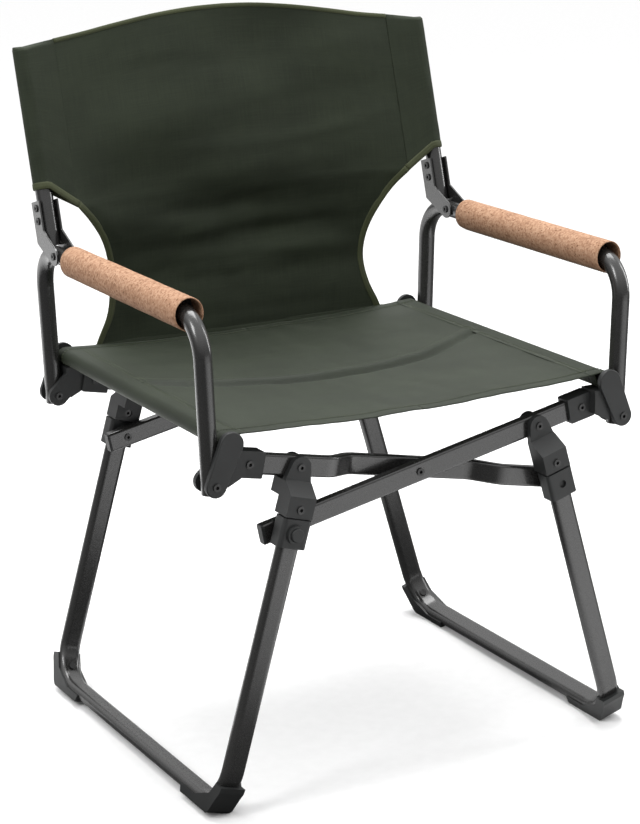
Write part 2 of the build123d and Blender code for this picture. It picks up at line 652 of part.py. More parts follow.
# ---------------------------------------------------------------- fabric
def seat_fabric():
    """A sling across the two seat rails, with a sleeve around each."""
    sleeve_inner = RAIL_RADIUS + FABRIC_CLEARANCE
    sleeve_outer = sleeve_inner + FABRIC / 2
    top = RAIL_Z + sleeve_outer
    below = top - FABRIC
    upper_edge = ThreePointArc((-RAIL_X, top), (0, top - SEAT_SAG), (RAIL_X, top))
    lower_edge = ThreePointArc((RAIL_X, below), (0, below - SEAT_SAG), (-RAIL_X, below))
    ends = [Line(upper_edge @ 1, lower_edge @ 0), Line(lower_edge @ 1, upper_edge @ 0)]
    section = make_face([upper_edge, ends[0], lower_edge, ends[1]])
    for x in (-RAIL_X, RAIL_X):
        section += Pos(x, RAIL_Z) * Circle(sleeve_outer)
    for x in (-RAIL_X, RAIL_X):
        section -= Pos(x, RAIL_Z) * Circle(sleeve_inner)
    return plate_xz(section, SEAT_FRONT, SEAT_REAR)


def back_fabric():
    """The back's upper panel: a pocket around each post, a crowned top edge, cut in at the waist."""
    inner = POST_RADIUS + FABRIC_CLEARANCE
    outer = inner + FABRIC / 2
    section = Rectangle(2 * (ARM_TOP_X + inner), FABRIC)
    for x in (-ARM_TOP_X, ARM_TOP_X):
        section += Pos(x, 0) * Circle(outer)
    for x in (-ARM_TOP_X, ARM_TOP_X):
        section -= Pos(x, 0) * Circle(inner)
    panel = Pos(0, POST_FOOT_Y, POST_FOOT_Z) * Rot(-BACK_TILT, 0, 0) * extrude(section, POST_TOP + 60)
    edge_x = ARM_TOP_X + POST_RADIUS + FABRIC + 1
    corner_x = POCKET_SEAM_X + 22
    beyond = 400
    above = make_face([
        ThreePointArc((edge_x, BACK_CORNER_Z), (0, BACK_APEX_Z), (-edge_x, BACK_CORNER_Z)),
        Polyline(
            (-edge_x, BACK_CORNER_Z),
            (-edge_x, BACK_APEX_Z + beyond),
            (edge_x, BACK_APEX_Z + beyond),
            (edge_x, BACK_CORNER_Z),
        ),
    ])
    below = make_face(Polyline(
        (-edge_x, 0),
        (-edge_x, POCKET_BOTTOM_Z),
        (-corner_x, POCKET_BOTTOM_Z),
        (-WAIST_SPLIT_X, WAIST_SPLIT_Z),
        (WAIST_SPLIT_X, WAIST_SPLIT_Z),
        (corner_x, POCKET_BOTTOM_Z),
        (edge_x, POCKET_BOTTOM_Z),
        (edge_x, 0),
        close=True,
    ))
    return panel - plate_xz(above, 100, 300) - plate_xz(below, 100, 300)


def back_fabric_lower():
    """The back's lower panel, from the waist down to the rear edge of the seat."""
    split_y = POST_FOOT_Y + (WAIST_SPLIT_Z - POST_FOOT_Z) * tan(radians(BACK_TILT))
    front = Spline((split_y, WAIST_SPLIT_Z), (WAIST_Y, WAIST_Z), (BACK_HEM_Y, BACK_HEM_Z))
    back = Pos(FABRIC, 0) * front
    ends = [Line(front @ 0, back @ 0), Line(front @ 1, back @ 1)]
    strip = plate_yz(make_face([front, back, *ends]), -WAIST_SPLIT_X, WAIST_SPLIT_X)
    left = Spline((-BACK_HEM_X, BACK_HEM_Z), (-WAIST_X, WAIST_Z), (-WAIST_SPLIT_X, WAIST_SPLIT_Z))
    right = mirror(left, about=Plane.YZ)
    top = Line(left @ 1, right @ 1)
    bottom = Line(right @ 0, left @ 0)
    trim_gap = 0.3
    outline = make_face([left, top, right, bottom])
    panel = strip & plate_xz(outline, 100, 300)
    return panel - block(-300, 300, 100, 300, WAIST_SPLIT_Z - trim_gap, WAIST_SPLIT_Z + 10)


# ---------------------------------------------------------------- assembly
def chair():
    """Every node's shape by name, in the drawing frame."""
    nodes = {}
    corner_pieces = {
        "foot": foot(),
        "leg_bracket": bracket(),
        "hub": hub(),
    }
    side_pieces = {
        "leg_tube": leg_tube(),
        "leg_rivets": both_ends(bracket_rivet() + foot_rivet()),
        "leg_pivots": both_ends(leg_pivot()),
        "crossbar_caps": both_ends(bar_cap()),
        "collar_rivets": both_ends(collar_rivet()),
        "hub_rivets": both_ends(hub_rivet()),
        "arm_pivots": both_ends(arm_pivot()),
        "seat_rail": seat_rail(),
        "arm_tube": arm_tube(),
        "armrest_cork": armrest_cork(),
        "armrest_foam": armrest_foam(),
        "back_post": back_post(),
        "back_post_plugs": post_plugs(),
        "back_bracket": back_bracket(),
        "back_bracket_rivets": back_bracket_rivets(),
        "back_pivot": back_pivot(),
    }
    for name, piece in corner_pieces.items():
        for side in ("right", "left"):
            front = piece if side == "right" else mirror(piece, about=RIGHT_TO_LEFT)
            nodes[f"{side}_front_{name}"] = front
            nodes[f"{side}_rear_{name}"] = mirror(front, about=FRONT_TO_REAR)
    for name, piece in side_pieces.items():
        nodes[f"right_{name}"] = piece
        nodes[f"left_{name}"] = mirror(piece, about=RIGHT_TO_LEFT)
    left_bar = mirror(joggled_bar(), about=RIGHT_TO_LEFT)
    for side, bar in (("right", straight_bar()), ("left", left_bar)):
        nodes[f"{side}_front_crossbar"] = bar
        nodes[f"{side}_rear_crossbar"] = mirror(bar, about=FRONT_TO_REAR)
    right_collar = plain_collar()
    left_collar = mirror(right_collar, about=RIGHT_TO_LEFT)
    nodes["right_front_collar"] = right_collar
    nodes["right_rear_collar"] = mirror(right_collar, about=FRONT_TO_REAR)
    nodes["left_front_collar"] = mirror(locking_collar(), about=RIGHT_TO_LEFT)
    nodes["left_rear_collar"] = mirror(left_collar, about=FRONT_TO_REAR)
    nodes["lock_button"] = mirror(lock_button(), about=RIGHT_TO_LEFT)
    nodes["lock_spring"] = mirror(lock_spring(), about=RIGHT_TO_LEFT)
    nodes["centre_rivets"] = both_ends(centre_rivet())
    nodes["centre_spacers"] = both_ends(centre_spacer())
    nodes["seat_fabric"] = seat_fabric()
    nodes["back_fabric"] = back_fabric()
    nodes["back_fabric_lower"] = back_fabric_lower()
    return nodes


os.makedirs("parts", exist_ok=True)
for node_name, shape in chair().items():
    export_step(Pos(0, -DEPTH_CENTRE, 0) * shape, f"parts/{node_name}.step")
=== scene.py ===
"""Looks for the folding camp chair: cloth, hems, stitches, cork, paint, light and camera. Metres."""

import json
import math

import bpy
import numpy as np
from mathutils import Matrix, Vector, noise


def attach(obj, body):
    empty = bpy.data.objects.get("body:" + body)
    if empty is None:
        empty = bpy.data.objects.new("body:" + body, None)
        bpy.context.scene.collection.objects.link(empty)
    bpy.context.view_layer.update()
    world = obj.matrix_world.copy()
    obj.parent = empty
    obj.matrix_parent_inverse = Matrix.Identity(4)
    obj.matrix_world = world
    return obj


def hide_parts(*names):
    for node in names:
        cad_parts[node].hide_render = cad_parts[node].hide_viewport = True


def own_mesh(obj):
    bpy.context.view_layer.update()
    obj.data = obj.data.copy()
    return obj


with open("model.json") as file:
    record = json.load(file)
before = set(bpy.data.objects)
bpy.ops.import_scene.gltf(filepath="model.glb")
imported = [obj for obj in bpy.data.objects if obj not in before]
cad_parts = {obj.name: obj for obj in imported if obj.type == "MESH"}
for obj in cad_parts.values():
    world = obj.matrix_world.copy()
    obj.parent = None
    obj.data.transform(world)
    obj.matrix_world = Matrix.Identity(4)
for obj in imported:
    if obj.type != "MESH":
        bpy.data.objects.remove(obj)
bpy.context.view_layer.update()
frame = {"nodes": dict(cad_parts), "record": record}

# ---------------------------------------------------------------- sizes shared with the CAD, in metres
DEPTH_CENTRE = 0.0096       # the row frame's origin, behind the middle between front and rear legs
RAIL_X, RAIL_Z = 0.241, 0.423
RAIL_WRAP = 0.0090          # rail axis to the middle of the cloth around it
ARM_TOP_X, ARM_TOP_Z = 0.266, 0.558
POST_FOOT_Y, POST_FOOT_Z = 0.1763, 0.5517
BACK_TILT = math.radians(16.4)
POST_WRAP = 0.0111          # post axis to the middle of the cloth around it
SEAM_X = 0.226
SPLIT_Z = 0.606
HEM_Z = 0.4195
LUMBAR_DEPTH = 0.017        # how far the middle hangs behind the line between the posts' lower ends

# cloth
CLOTH_THICKNESS = 0.0009
SEAT_FRONT, SEAT_REAR = -0.2135, 0.2165
SEAT_ROWS = 88              # rows of the seat's grid while it settles
SEAT_COLUMNS = 97           # columns of it between the two rails
WRAP_STEPS = 10             # steps of the sleeve's half turn round a rail
SEAT_CURVE = 0.004          # how far the free front edge bows inwards
SEAT_SAG = 0.009
BACK_SAG = 0.010
SLEEVE_SEAM_X = 0.2255
FLAP_DROP = 1.6 * CLOTH_THICKNESS
FLAP = [(0.236, 0.4150), (0.231, 0.4215)]   # the sleeve's flap, back up from below the rail
BINDING_WIDTH = 0.0085
BINDING_THICKNESS = 0.0026
TOP_BINDING_WIDTH = 0.0055
SEAT_HEM_WIDTH, SEAT_HEM_THICKNESS = 0.013, 0.0024
FOOT_HEM_WIDTH = 0.012
STITCH_PITCH = 0.0034
STITCH_LENGTH = 0.0026
STITCH_RADIUS = 0.00035
HEM_ROWS = 6                # rows of the seat's grid from its edge to the hem's stitches
SIM_FRAMES = 36

# top edge of the back: distance from the middle, height
CROWN = [(0.000, 0.8225), (0.035, 0.8215), (0.088, 0.8165), (0.145, 0.8080), (0.190, 0.8005), (0.226, 0.7960)]
POCKET_TOP_Z = 0.7895
POCKET_BOTTOM_Z = 0.6300
# cut-in side edge of the lower back: height, distance from the middle, depth
WAIST = [
    (0.4195, 0.2020, 0.2185),
    (0.438, 0.1940, 0.2185),
    (0.460, 0.1830, 0.2195),
    (0.500, 0.1755, 0.2230),
    (0.532, 0.1795, 0.2170),
    (0.563, 0.1920, 0.2070),
    (0.590, 0.2110, 0.1990),
    (0.606, 0.2260, 0.1910),
]

# crease that folding leaves across the seat
CREASE_Y = -0.036
CREASE_BOW = 1.25           # rise of the crease towards the sides, per metre
CREASE_WIDTH = 0.0055
CREASE_DEPTH, RIDGE_HEIGHT = 0.0062, 0.0050
RIDGE_PLACE, RIDGE_WIDTH = 2.2, 1.8     # both in crease widths

# uneven cloth: height, stretch of x and of the other direction, size and seed of its waves
SEAT_SWELL = (0.0030, 0.5, 1.0, 0.050, 8.7)
SEAT_RIPPLES = (0.0010, 1.0, 0.6, 0.022, 5.2)
SEAT_FLAWS = (0.0006, 1.0, 0.5, 0.035, 3.1)
BACK_FLAWS = (0.0007, 1.0, 0.7, 0.045, 6.4)
WAIST_FOLDS = (0.0120, 0.16, 1.0, 0.030, 1.7)
BROAD_FOLDS = (0.0150, 0.35, 1.0, 0.070, 9.3)
FINE_FOLDS = (0.0022, 0.25, 1.0, 0.014, 4.4)
PULL_Z, PULL_REACH = 0.545, 0.055       # where the waist pulls the back into folds
FOLD_SLANT = 0.06
LUMBAR_LINE_Z = 0.655

# ---------------------------------------------------------------- folding of the soft pieces
SEAT_KEEP = 0.179           # share of a seat half's width left when the scissor is shut
BACK_KEEP = 0.187


def at(x, y, z):
    """A point of the drawing frame, whose y starts midway between the legs, in the row frame."""
    return (x, y - DEPTH_CENTRE, z)


def smooth(edge_low, edge_high, value):
    """0 below edge_low, 1 above edge_high, and a smooth step between them."""
    t = np.clip((value - edge_low) / (edge_high - edge_low), 0, 1)
    return t * t * (3 - 2 * t)


def curve_through(points, value):
    """A smooth curve through a few (position, height) points, read at value."""
    xs = np.array([p[0] for p in points])
    ys = np.array([p[1] for p in points])
    slopes = np.gradient(ys, xs)
    i = np.clip(np.searchsorted(xs, value, side="right") - 1, 0, len(xs) - 2)
    width = xs[i + 1] - xs[i]
    t = np.clip((value - xs[i]) / width, 0, 1)
    start = (2 * t**3 - 3 * t**2 + 1) * ys[i] + (t**3 - 2 * t**2 + t) * width * slopes[i]
    end = (3 * t**2 - 2 * t**3) * ys[i + 1] + (t**3 - t**2) * width * slopes[i + 1]
    return start + end


# ---------------------------------------------------------------- materials
FLOOR_BOUNCE = (0.26, 0.26, 0.26)
PAINTED_STRIPE_COUNT = 2              # painted reflection: white stripes in the floor's colour round the chair, seen only by glossy rays
FIRST_PAINTED_STRIPE_TURN = 0.33      # direction of the first painted reflection stripe, in turns


class Graph:
    """A material's node tree with short calls for the nodes used here."""

    def __init__(self, name):
        self.material = bpy.data.materials.new(name)
        self.material.use_nodes = True
        self.tree = self.material.node_tree
        self.shader = self.tree.nodes["Principled BSDF"]

    def node(self, kind, **values):
        """A new node, its properties and sockets set by name."""
        made = self.tree.nodes.new(kind)
        for key, value in values.items():
            if hasattr(made, key):
                setattr(made, key, value)
            else:
                made.inputs[key.replace("_", " ")].default_value = value
        return made

    def link(self, source, target):
        """Joins an output socket to an input socket."""
        self.tree.links.new(source, target)

    def coordinates(self, uv=False, stretch=(1, 1, 1)):
        """Texture coordinates in metres, from the object or from the cloth's own weave directions."""
        texture = self.node("ShaderNodeTexCoord")
        mapping = self.node("ShaderNodeMapping")
        mapping.inputs["Scale"].default_value = stretch
        self.link(texture.outputs["UV" if uv else "Object"], mapping.inputs["Vector"])
        return mapping.outputs["Vector"]

    def noise(self, where, scale, detail=4.0, roughness=0.55):
        """Fractal noise of about 0 to 1, with scale features to the metre."""
        made = self.node("ShaderNodeTexNoise", Scale=scale, Detail=detail, Roughness=roughness)
        self.link(where, made.inputs["Vector"])
        return made.outputs["Fac"]

    def ramp(self, factor, stops):
        """Colours between the given (position, colour) stops."""
        made = self.node("ShaderNodeValToRGB")
        elements = made.color_ramp.elements
        while len(elements) < len(stops):
            elements.new(0.5)
        for element, (position, colour) in zip(elements, stops):
            element.position = position
            element.color = (*colour, 1)
        self.link(factor, made.inputs["Fac"])
        return made.outputs["Color"]

    def math(self, operation, a, b):
        """A sum on two links or numbers."""
        made = self.node("ShaderNodeMath", operation=operation)
        for socket, value in zip(made.inputs, (a, b)):
            if isinstance(value, (int, float)):
                socket.default_value = value
            else:
                self.link(value, socket)
        return made.outputs["Value"]

    def remap(self, value, low, high, start=0.0, end=1.0):
        """The link's values from start to end, spread from low to high."""
        made = self.node("ShaderNodeMapRange")
        self.link(value, made.inputs["Value"])
        for name, number in (("From Min", start), ("From Max", end), ("To Min", low), ("To Max", high)):
            made.inputs[name].default_value = number
        return made.outputs["Result"]

    def mix(self, factor, first, second):
        """A colour between two, each given as a link or as a value."""
        made = self.node("ShaderNodeMix", data_type="RGBA")
        self.link(factor, made.inputs["Factor"])
        for name, colour in (("A", first), ("B", second)):
            if isinstance(colour, tuple):
                made.inputs[name].default_value = colour
            else:
                self.link(colour, made.inputs[name])
        return made.outputs["Result"]

    def bump(self, height, distance, strength=1.0, after=None):
        """A normal tilted by a height map, over the normal in after."""
        made = self.node("ShaderNodeBump", Strength=strength, Distance=distance)
        self.link(height, made.inputs["Height"])
        if after is not None:
            self.link(after, made.inputs["Normal"])
        return made.outputs["Normal"]

    def set(self, **values):
        """Shader sockets by name, either a value or a link."""
        for key, value in values.items():
            socket = self.shader.inputs[key.replace("_", " ")]
            if hasattr(value, "is_linked"):
                self.link(value, socket)
            else:
                socket.default_value = value
        return self.material


def frame_paint():
    """Charcoal powder coat: a fine orange peel, rubbed lighter in small patches."""
    g = Graph("frame_paint")
    where = g.coordinates()
    speckle = g.noise(where, 900, detail=2)
    patches = g.noise(where, 14)
    rubbed = g.remap(g.noise(where, 240, detail=6), 0, 0.6, 0.64, 0.76)
    base = g.ramp(patches, [(0.3, (0.014, 0.014, 0.0135)), (0.7, (0.020, 0.0195, 0.019))])
    g.set(
        Base_Color=g.mix(rubbed, base, (0.060, 0.059, 0.057, 1)),
        Metallic=0.0,
        Roughness=g.remap(speckle, 0.22, 0.34),
        Normal=g.bump(speckle, 0.00006, 0.6),
        Coat_Weight=0.6,
        Coat_Roughness=0.14,
    )
    return g.material


def moulded_plastic(name, tint, rough_low, rough_high):
    """Black injection-moulded nylon with a spark-eroded grain."""
    g = Graph(name)
    where = g.coordinates()
    grain = g.noise(where, 1500, detail=3)
    flow = g.noise(where, 22)
    low = tuple(0.8 * c for c in tint)
    high = tuple(1.25 * c for c in tint)
    g.set(
        Base_Color=g.ramp(flow, [(0.3, low), (0.7, high)]),
        Roughness=g.remap(grain, rough_low, rough_high),
        Normal=g.bump(grain, 0.00008, 0.7),
        Specular_IOR_Level=0.45,
    )
    return g.material


def rivet_metal(name, tint, metallic, rough_low, rough_high):
    """Turned or pressed metal with fine scratches round the heads."""
    g = Graph(name)
    where = g.coordinates()
    scratches = g.noise(g.coordinates(stretch=(300, 2000, 300)), 1.0, detail=3)
    dull = g.noise(where, 220)
    g.set(
        Base_Color=g.ramp(dull, [(0.3, tuple(0.8 * c for c in tint)), (0.7, tuple(1.3 * c for c in tint))]),
        Metallic=metallic,
        Roughness=g.remap(scratches, rough_low, rough_high),
        Normal=g.bump(scratches, 0.00003, 0.5),
    )
    return g.material


def woven(name, dark, light, thread, sheen, roughness):
    """Plain-weave polyester: crossing threads, uneven yarn colour and a soft nap."""
    g = Graph(name)
    weave = g.coordinates(uv=True)
    waves = []
    for direction in ("X", "Y"):
        wave = g.node("ShaderNodeTexWave", wave_type="BANDS", bands_direction=direction, wave_profile="SIN")
        wave.inputs["Scale"].default_value = 0.314 / thread
        wave.inputs["Distortion"].default_value = 0.5
        wave.inputs["Detail"].default_value = 1.0
        g.link(weave, wave.inputs["Vector"])
        waves.append(wave.outputs["Fac"])
    threads = g.math("MULTIPLY", waves[0], waves[1])
    yarn_x = g.noise(g.coordinates(uv=True, stretch=(20, 900, 1)), 1.0, detail=3)
    yarn_y = g.noise(g.coordinates(uv=True, stretch=(900, 20, 1)), 1.0, detail=3)
    yarns = g.math("ADD", yarn_x, yarn_y)
    cloudy = g.noise(g.coordinates(uv=True, stretch=(1, 1, 1)), 9, detail=5)
    shade = g.math("ADD", g.remap(yarns, -0.25, 0.25, 0.6, 1.4), g.remap(cloudy, -0.2, 0.2, 0.3, 0.7))
    shade = g.math("ADD", shade, g.remap(threads, 0.25, 0.7))
    g.set(
        Base_Color=g.ramp(shade, [(0.1, dark), (0.9, light)]),
        Roughness=roughness,
        Normal=g.bump(yarns, 0.00012, 0.35, after=g.bump(threads, 0.0002, 0.5)),
        Sheen_Weight=sheen,
        Sheen_Roughness=0.35,
        Sheen_Tint=(0.62, 0.68, 0.55, 1),
        Specular_IOR_Level=0.3,
    )
    return g.material


def cork_sheet():
    """Granulated cork: packed crumbs of several tans, with dark bark specks and pits."""
    g = Graph("cork")
    where = g.coordinates()
    crumbs = g.node("ShaderNodeTexVoronoi", feature="F1", Scale=420.0, Randomness=1.0)
    g.link(where, crumbs.inputs["Vector"])
    tone = g.node("ShaderNodeSeparateColor")
    g.link(crumbs.outputs["Color"], tone.inputs["Color"])
    big = g.noise(where, 60, detail=5)
    tan = g.math("ADD", g.math("MULTIPLY", tone.outputs["Red"], 0.6), g.math("MULTIPLY", big, 0.5))
    base = g.ramp(tan, [
        (0.10, (0.21, 0.106, 0.060)),
        (0.45, (0.335, 0.187, 0.112)),
        (0.95, (0.46, 0.285, 0.185)),
    ])
    specks = g.node("ShaderNodeTexVoronoi", feature="F1", Scale=150.0, Randomness=1.0)
    g.link(where, specks.inputs["Vector"])
    speck_noise = g.noise(where, 700, detail=2)
    near = g.math("ADD", specks.outputs["Distance"], g.math("MULTIPLY", speck_noise, 0.5))
    dark = g.remap(near, 1, 0, 0.36, 0.46)
    g.set(
        Base_Color=g.mix(dark, base, (0.16, 0.075, 0.035, 1)),
        Roughness=g.remap(big, 0.72, 0.9),
        Normal=g.bump(crumbs.outputs["Distance"], 0.0004, 0.5, after=g.bump(dark, 0.0004, 0.4)),
        Specular_IOR_Level=0.25,
    )
    return g.material


def pale_floor():
    """A matt paper sweep: pale to look at, dim as a source of light, and to glossy rays a ring of painted
    white stripes, a painted reflection of white cards.
    """
    g = Graph("studio_floor")
    fibre = g.noise(g.coordinates(), 60, detail=6)
    paper = g.ramp(fibre, [(0.3, (0.88, 0.88, 0.88)), (0.7, (0.91, 0.91, 0.91))])
    # painted reflection: bright stripes round the chair in the floor's colour, seen only by glossy rays,
    # which give the tubes their highlight streaks
    around = g.node("ShaderNodeTexGradient", gradient_type="RADIAL")
    g.link(g.coordinates(), around.inputs["Vector"])
    turns = g.math("SUBTRACT", around.outputs["Fac"], FIRST_PAINTED_STRIPE_TURN)
    painted_stripes = g.math("COSINE", g.math("MULTIPLY", turns, 2 * math.pi * PAINTED_STRIPE_COUNT), 0.0)
    painted_reflection = g.ramp(g.remap(painted_stripes, 0, 1, 0.1, 0.9), [(0.0, (0.10, 0.10, 0.10)), (1.0, (1.0, 1.0, 1.0))])
    ray = g.node("ShaderNodeLightPath")
    seen = g.mix(ray.outputs["Is Glossy Ray"], (*FLOOR_BOUNCE, 1), painted_reflection)
    seen = g.mix(ray.outputs["Is Camera Ray"], seen, paper)
    g.set(
        Base_Color=seen,
        Roughness=g.remap(fibre, 0.8, 0.9),
        Specular_IOR_Level=0.1,
    )
    return g.material


MATERIALS = {
    "frame_paint": frame_paint(),
    "moulded_plastic": moulded_plastic("moulded_plastic", (0.017, 0.018, 0.018), 0.40, 0.60),
    "foam": moulded_plastic("foam", (0.012, 0.012, 0.012), 0.85, 0.98),
    "rivet_steel": rivet_metal("rivet_steel", (0.045, 0.045, 0.045), 0.75, 0.25, 0.45),
    "spring_steel": rivet_metal("spring_steel", (0.5, 0.5, 0.5), 1.0, 0.2, 0.35),
    "cork": cork_sheet(),
    "seat_cloth": woven("seat_cloth", (0.0090, 0.0130, 0.0066), (0.0222, 0.0300, 0.0166), 0.0007, 0.15, 0.62),
    "back_cloth": woven("back_cloth", (0.0105, 0.0152, 0.0070), (0.026, 0.035, 0.018), 0.0007, 0.06, 0.78),
    "binding": woven("binding", (0.036, 0.042, 0.018), (0.072, 0.083, 0.037), 0.0009, 0.1, 0.7),
    "thread": woven("thread", (0.035, 0.045, 0.022), (0.075, 0.092, 0.050), 0.0004, 0.2, 0.6),
}


# ---------------------------------------------------------------- meshes
def add_mesh(name, vertices, faces, material, uv=None):
    """A smooth-shaded mesh object; uv holds one (u, v) in metres per vertex."""
    mesh = bpy.data.meshes.new(name)
    mesh.from_pydata([tuple(v) for v in vertices], [], faces)
    mesh.polygons.foreach_set("use_smooth", [True] * len(mesh.polygons))
    layer = mesh.uv_layers.new(name="weave")
    corners = np.empty(len(mesh.loops), int)
    mesh.loops.foreach_get("vertex_index", corners)
    flat = np.asarray(uv if uv is not None else [(v[0], v[1]) for v in vertices], float)
    layer.data.foreach_set("uv", flat[corners].ravel())
    mesh.materials.append(MATERIALS[material])
    made = bpy.data.objects.new(name, mesh)
    bpy.context.scene.collection.objects.link(made)
    return made


def grid_faces(rows, columns):
    """Quads of a rows by columns grid of vertices."""
    return [
        (r * columns + c, r * columns + c + 1, (r + 1) * columns + c + 1, (r + 1) * columns + c)
        for r in range(rows - 1)
        for c in range(columns - 1)
    ]


def lengths(points):
    """Distance along a line of points."""
    steps = np.linalg.norm(np.diff(points, axis=0), axis=1)
    return np.concatenate([[0], np.cumsum(steps)])


def weave_of(grid):
    """Each point's place on the flat cloth: across its own row from the middle, and along the middle."""
    middle = grid.shape[1] // 2
    steps = np.linalg.norm(np.diff(grid, axis=1), axis=2)
    across = np.concatenate([np.zeros((len(grid), 1)), np.cumsum(steps, axis=1)], axis=1)
    across -= across[:, middle:middle + 1]
    along = np.broadcast_to(lengths(grid[:, middle])[:, None], across.shape)
    return np.stack([across, along], axis=-1)


def cloth_piece(name, grid, normals, weave, material):
    """A sheet with its real thickness, from a grid and the whole cloth's normals and weave."""
    rows, columns, _ = grid.shape
    flat_uv = [tuple(place) for place in weave.reshape(-1, 2)]
    half = normals * CLOTH_THICKNESS / 2
    vertices = np.concatenate([(grid + half).reshape(-1, 3), (grid - half).reshape(-1, 3)])
    upper = grid_faces(rows, columns)
    count = rows * columns
    faces = upper + [tuple(count + i for i in reversed(face)) for face in upper]
    rim = list(range(columns))
    rim += [r * columns + columns - 1 for r in range(1, rows)]
    rim += [(rows - 1) * columns + c for c in reversed(range(columns - 1))]
    rim += [r * columns for r in reversed(range(1, rows - 1))]
    for here, there in zip(rim, rim[1:] + rim[:1]):
        faces.append((here, count + here, count + there, there))
    sheet = add_mesh(name, vertices, faces, material, flat_uv * 2)
    facing = np.concatenate([normals.reshape(-1, 3), -normals.reshape(-1, 3)])
    sheet.data.normals_split_custom_set_from_vertices([tuple(n) for n in facing])
    return sheet


def resample(path, step):
    """The line's points at an even spacing, with the spacing nearest to step that fits."""
    along = lengths(path)
    count = max(2, int(round(along[-1] / step)) + 1)
    wanted = np.linspace(0, along[-1], count)
    return np.stack([np.interp(wanted, along, path[:, i]) for i in range(3)], axis=1)


def unit(vectors):
    """The vectors at length one."""
    return vectors / np.maximum(np.linalg.norm(vectors, axis=-1, keepdims=True), 1e-12)


def strip(name, path, inward, width, thickness, material, step=0.004):
    """A folded binding: a rounded flat tube along a cloth edge, straddling it."""
    sides = 12
    straddle = 0.38         # share of the width that lies inside the edge, from the middle
    along = lengths(path)
    line = resample(path, step)
    wanted = np.linspace(0, along[-1], len(line))
    inward = unit(np.stack([np.interp(wanted, along, inward[:, i]) for i in range(3)], axis=1))
    tangent = unit(np.gradient(line, axis=0))
    inward = unit(inward - tangent * np.sum(inward * tangent, axis=1, keepdims=True))
    normal = np.cross(tangent, inward)
    vertices, uv = [], []
    for i, centre in enumerate(line):
        for k in range(sides):
            angle = 2 * math.pi * k / sides
            flat = math.copysign(abs(math.cos(angle)) ** 0.5, math.cos(angle))
            high = math.copysign(abs(math.sin(angle)) ** 0.8, math.sin(angle))
            offset = inward[i] * (width / 2 * flat + width * straddle) + normal[i] * thickness / 2 * high
            vertices.append(centre + offset)
            uv.append((wanted[i], k * width / sides))
    faces = []
    for i in range(len(line) - 1):
        for k in range(sides):
            n = (k + 1) % sides
            faces.append((i * sides + k, i * sides + n, (i + 1) * sides + n, (i + 1) * sides + k))
    last = (len(line) - 1) * sides
    faces.append(tuple(reversed(range(sides))))
    faces.append(tuple(last + k for k in range(sides)))
    return add_mesh(name, vertices, faces, material, uv)


def stitches(name, path, normal, lift, pitch=STITCH_PITCH):
    """A row of lockstitches lying on the cloth along a path: short thick threads with pinched ends."""
    sides = 6
    line = resample(path, pitch)
    along = lengths(path)
    wanted = np.linspace(0, along[-1], len(line))
    up = unit(np.stack([np.interp(wanted, along, normal[:, i]) for i in range(3)], axis=1))
    rings = [(-0.5, 0.35, -0.6), (-0.28, 1.0, 0.5), (0.28, 1.0, 0.5), (0.5, 0.35, -0.6)]
    vertices, faces = [], []
    for i in range(len(line) - 1):
        centre = (line[i] + line[i + 1]) / 2
        forward = unit(line[i + 1] - line[i])
        side = unit(np.cross(forward, up[i]))
        first = len(vertices)
        for place, radius, height in rings:
            middle = centre + forward * STITCH_LENGTH * place
            middle = middle + up[i] * (lift + STITCH_RADIUS * height)
            for k in range(sides):
                angle = 2 * math.pi * k / sides
                spoke = side * math.cos(angle) * 1.3 + up[i] * math.sin(angle)
                vertices.append(middle + spoke * STITCH_RADIUS * radius)
        for ring in range(len(rings) - 1):
            for k in range(sides):
                n = (k + 1) % sides
                a = first + ring * sides
                b = a + sides
                faces.append((a + k, a + n, b + n, b + k))
        faces.append(tuple(first + k for k in reversed(range(sides))))
        faces.append(tuple(first + (len(rings) - 1) * sides + k for k in range(sides)))
    return add_mesh(name, vertices, faces, "thread")


def grid_normals(grid):
    """Unit normals of a grid, from its rows and columns."""
    across = np.gradient(grid, axis=1)
    along = np.gradient(grid, axis=0)
    return unit(np.cross(across, along))


def settle(name, grid, pinned, gravity):
    """Lets a grid of cloth hang from its pinned points, and returns where it comes to rest."""
    rows, columns, _ = grid.shape
    sheet = add_mesh(name, grid.reshape(-1, 3), grid_faces(rows, columns), "seat_cloth")
    pins = sheet.vertex_groups.new(name="pins")
    pins.add([int(i) for i in np.flatnonzero(pinned.ravel())], 1.0, "REPLACE")
    cloth = sheet.modifiers.new("cloth", "CLOTH")
    settings = cloth.settings
    settings.quality = 7
    settings.mass = 0.012
    settings.tension_stiffness = 90
    settings.compression_stiffness = 90
    settings.shear_stiffness = 30
    settings.bending_stiffness = 1.2
    settings.air_damping = 4
    settings.vertex_group_mass = "pins"
    settings.effector_weights.gravity = gravity
    cloth.collision_settings.use_collision = False
    cloth.point_cache.frame_start = 1
    cloth.point_cache.frame_end = SIM_FRAMES
    scene = bpy.context.scene
    for step in range(1, SIM_FRAMES + 1):
        scene.frame_set(step)
    settled = sheet.evaluated_get(bpy.context.evaluated_depsgraph_get())
    flat = np.empty(rows * columns * 3)
    settled.data.vertices.foreach_get("co", flat)
    scene.frame_set(1)
    bpy.data.objects.remove(sheet)
    return flat.reshape(rows, columns, 3)


def wavy(x, y, size, seed):
    """Smooth noise of about -1 to 1 with features of the given size."""
    return noise.noise(Vector((x / size, y / size, seed)))


def waves(x, y, kind):
    """Heights of an uneven cloth over a grid."""
    height, stretch_x, stretch_y, size, seed = kind
    return height * np.vectorize(lambda a, b: wavy(a, b, size, seed))(x * stretch_x, y * stretch_y)
